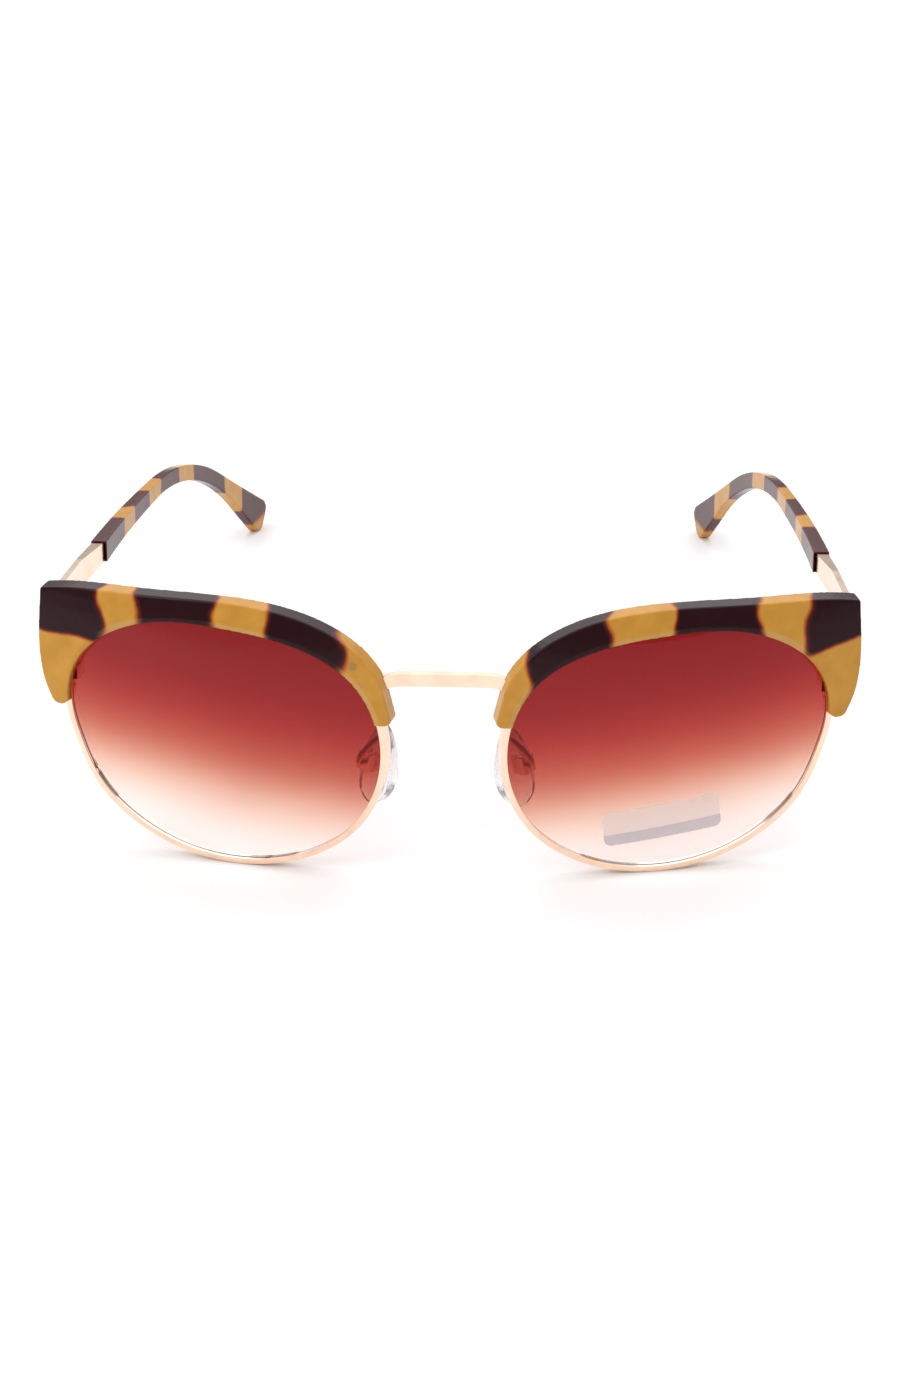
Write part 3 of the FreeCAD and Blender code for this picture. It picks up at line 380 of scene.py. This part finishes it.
def lens_material():
    build = Build("lens_gradient")
    level = build.math("SUBTRACT", build.math("SUBTRACT", build.z, LENS_MIDDLE),
                       build.math("MULTIPLY", build.aside(LENS_ACROSS), TINT_SLOPE))
    tint = build.ramp(build.math("ADD", level, build.waver(*TINT_WAVER)), LENS_TINT,
                      *TINT_SPAN, "B_SPLINE")
    # Light crosses two faces of the lens, so each face takes the square root of the tint.
    root = build.tree.nodes.new("ShaderNodeGamma")
    root.inputs["Gamma"].default_value = 0.5
    build.link(tint, root.inputs["Color"])
    glass = build.shader("ShaderNodeBsdfPrincipled", Base_Color=tint, Roughness=0.0,
                         IOR=LENS_IOR, Transmission_Weight=1.0)
    return see_through(build, glass, root.outputs[0])


def silicone_material():
    build = Build("clear_silicone")
    cloud = SILICONE_CLOUD(build)
    skin = build.shader("ShaderNodeBsdfPrincipled", Base_Color=cloud, Roughness=0.08,
                        IOR=SILICONE_IOR, Transmission_Weight=1.0,
                        Normal=build.bump(build.noise(1.6), SILICONE_BUMP))
    return see_through(build, skin, cloud)


def label_material():
    build = Build("blank_label")
    middle = centre_of("lens_label") / MM
    along = build.math("MULTIPLY", build.math("SUBTRACT", build.x, middle.x), -math.sin(LABEL_TILT))
    up = build.math("MULTIPLY", build.math("SUBTRACT", build.z, middle.z), math.cos(LABEL_TILT))
    height = build.math("ADD", build.math("ADD", along, up), build.waver(*LABEL_GRAIN))
    colour = build.ramp(height, LABEL_BAND, *LABEL_SPAN)
    film = build.shader("ShaderNodeBsdfPrincipled", Base_Color=colour, Roughness=0.4)
    clear = build.shader("ShaderNodeBsdfTransparent", Color=(1, 1, 1, 1))
    return build.done(build.mix_shader(LABEL_COVER, clear.outputs[0], film.outputs[0]))


lens_glass = lens_material()
silicone = silicone_material()
label_film = label_material()


# ---------------------------------------------------------------- pieces

EDGE_SEGMENTS = 3
EDGE_ANGLE = math.radians(32)
RELAX_FACTOR = 0.5
RELAX_PASSES = 6


def paint(obj, material):
    obj.data.materials.clear()
    obj.data.materials.append(material)
    for link in obj.material_slots:
        link.material = material


def soften(obj, width):
    bevel = obj.modifiers.new("edges", "BEVEL")
    bevel.width = width
    bevel.segments = EDGE_SEGMENTS
    bevel.limit_method = "ANGLE"
    bevel.angle_limit = EDGE_ANGLE
    bevel.harden_normals = True


def smooth_copy(node, name, voxel):
    """A rounded copy of a CAD node: evenly remeshed, then smoothed."""
    piece = bpy.data.objects.new(name, NODES[node].data.copy())
    bpy.context.scene.collection.objects.link(piece)
    remesh = piece.modifiers.new("even", "REMESH")
    remesh.mode = "VOXEL"
    remesh.voxel_size = voxel
    remesh.use_smooth_shade = True
    relax = piece.modifiers.new("round", "SMOOTH")
    relax.factor = RELAX_FACTOR
    relax.iterations = RELAX_PASSES
    return piece


BODY_OF = {node: body for body, names in frame["record"]["behaviour"]["bodies"].items()
           for node in names}
# Material, slot and voxel size in metres.
ROUNDED = {"brow": (brow_acetate, "acetate", 0.00016),
           "temple_tip": (tip_acetate, "acetate", 0.00016),
           "nose_pad": (silicone, "silicone", 0.00012)}
# Material and width of the softened edges in metres.
CARRIED = {"lens": (lens_glass, 0.0), "rim": (rose_gold, 0.0002), "rim_lock": (rose_gold, 0.0002),
           "rim_lock_screw": (screw_steel, 0.00006), "brow_lugs": (rose_gold, 0.0001),
           "brow_screws": (screw_steel, 0.00006), "end_piece": (rose_gold, 0.00015),
           "hinge_front": (rose_gold, 0.00008), "hinge_rear": (rose_gold, 0.00008),
           "hinge_screw": (screw_steel, 0.00006), "temple_bar": (rose_gold, 0.00015),
           "pad_arm": (rose_gold, 0.00005), "pad_box": (rose_gold, 0.00008),
           "pad_screw": (screw_steel, 0.00006)}
BRIDGE_EDGE = 0.0003

for side in SIDES:
    for kind, (material, slot_name, voxel) in ROUNDED.items():
        node = kind + "_" + side
        piece = smooth_copy(node, "shaped_" + node, voxel)
        paint(piece, material)
        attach(piece, BODY_OF[node])
        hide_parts(node)
    for kind, (material, width) in CARRIED.items():
        obj = NODES[kind + "_" + side]
        paint(obj, material)
        if width:
            soften(obj, width)
paint(NODES["bridge"], rose_gold)
soften(NODES["bridge"], BRIDGE_EDGE)
paint(NODES["lens_label"], label_film)


# ---------------------------------------------------------------- floor, light, camera

FLOOR_SIZE = 6.0
FLOOR_TONE = toned((0.86, 0.86, 0.86), (0.90, 0.90, 0.90), 0.004, 2.0)

bpy.ops.mesh.primitive_plane_add(size=FLOOR_SIZE, location=(0, 0, 0))
floor = bpy.context.object
floor.name = "floor"
paint(floor, solid("pale_floor", FLOOR_TONE, FLOOR_FINISH))

scene = bpy.context.scene
world = bpy.data.worlds.new("studio")
scene.world = world
world.use_nodes = True
# A soft tent, bright overhead and dimmer towards the horizon, so that metal has something to
# reflect: how bright it is by height, from -1 straight down to 1 straight up.
SKY = [(-1.0, 0.45), (0.02, 0.30), (0.35, 0.62), (0.75, 1.15), (1.0, 1.2)]
SKY_BLUE = 1.02
sky_tree = world.node_tree
direction = sky_tree.nodes.new("ShaderNodeTexCoord")
split = sky_tree.nodes.new("ShaderNodeSeparateXYZ")
rescale = sky_tree.nodes.new("ShaderNodeMapRange")
rescale.inputs["From Min"].default_value = -1.0
tent = sky_tree.nodes.new("ShaderNodeValToRGB")
fill_band(tent.color_ramp, [((height + 1) / 2, (grey, grey, grey * SKY_BLUE))
                            for height, grey in SKY])
sky_tree.links.new(direction.outputs["Generated"], split.inputs[0])
sky_tree.links.new(split.outputs["Z"], rescale.inputs["Value"])
sky_tree.links.new(rescale.outputs[0], tent.inputs[0])
sky_tree.links.new(tent.outputs[0], sky_tree.nodes["Background"].inputs["Color"])
sky_tree.nodes["Background"].inputs["Strength"].default_value = 1.0


def softbox(name, place, size, power):
    """A rectangular light that points at the middle of the floor: metres and watts."""
    light = bpy.data.lights.new(name, "AREA")
    light.shape = "RECTANGLE"
    light.size, light.size_y = size
    light.energy = power
    lamp = bpy.data.objects.new(name, light)
    lamp.location = place
    lamp.rotation_euler = (-Vector(place)).to_track_quat("-Z", "Y").to_euler()
    scene.collection.objects.link(lamp)


softbox("overhead", (0.0, 0.10, 0.70), (0.9, 0.6), 1.6)
softbox("behind", (0.0, 0.90, 0.50), (1.2, 0.5), 1.4)
softbox("front_left", (-0.55, -0.50, 0.45), (0.35, 0.5), 1.5)

CAMERA_AT = Vector((0.02069, -0.47813, 0.22604))
CAMERA_TO = Vector((0.00249, -0.07233, 0.03241))
CAMERA_ROLL = math.radians(-0.12)
CAMERA_LENS = 73.8          # mm
CAMERA_SENSOR = 36          # mm
CAMERA_NEAR = 0.01          # metres
camera = bpy.data.objects.new("camera", bpy.data.cameras.new("camera"))
scene.collection.objects.link(camera)
camera.location = CAMERA_AT
camera.rotation_euler = (CAMERA_TO - CAMERA_AT).to_track_quat("-Z", "Y").to_matrix().to_euler()
camera.rotation_euler.rotate_axis("Z", CAMERA_ROLL)
camera.data.lens = CAMERA_LENS
camera.data.sensor_width = CAMERA_SENSOR
camera.data.clip_start = CAMERA_NEAR
scene.camera = camera
scene.view_settings.view_transform = "Standard"
